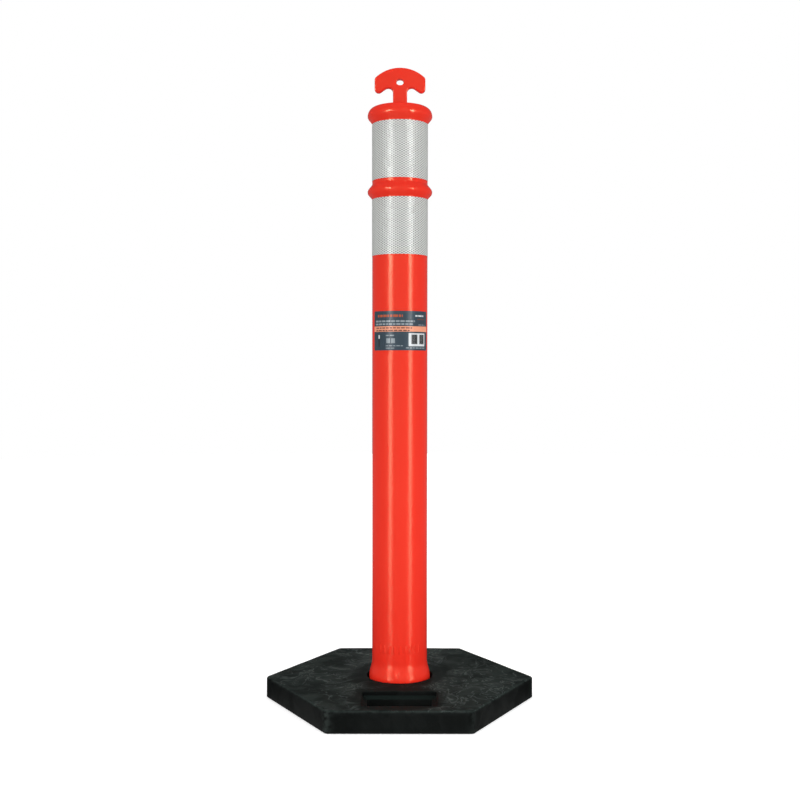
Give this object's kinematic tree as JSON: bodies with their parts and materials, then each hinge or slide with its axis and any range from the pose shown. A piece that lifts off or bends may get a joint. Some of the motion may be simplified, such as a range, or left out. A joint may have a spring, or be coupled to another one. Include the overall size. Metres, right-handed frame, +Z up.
{
  "type": "delineator post",
  "caption": "Hollow orange delineator post with a T-handle, reflective bands and a drop-over hexagonal rubber base that lifts off over the top.",
  "frame": {"origin": "on the ground, at the middle of the base and the axis of the post", "axes": "+Z up the post; +X towards the right end of the T-handle seen from the front; -Y is the front, the side with the label"},
  "size_m": [0.4862, 0.4236, 1.1429],
  "materials": {
    "post_plastic": "blow-moulded low-density polyethylene, fluorescent red-orange, satin gloss",
    "reflective_sheeting": "white prismatic retroreflective sheeting with a fine diamond cell pattern",
    "label_print": "printed film sticker, slate with a salmon stripe and plain bars",
    "base_rubber": "compression-moulded recycled rubber with flow marks"
  },
  "bodies": {
    "post": {"post_body": "post_plastic", "upper_reflective_band": "reflective_sheeting", "lower_reflective_band": "reflective_sheeting", "product_label": "label_print"},
    "base": {"rubber_base": "base_rubber"}
  },
  "joints": [
    {"name": "base_lift", "type": "slide", "parent": "post", "child": "base", "axis": [0, 0, 1], "range_m": [0, 1.16]}
  ]
}
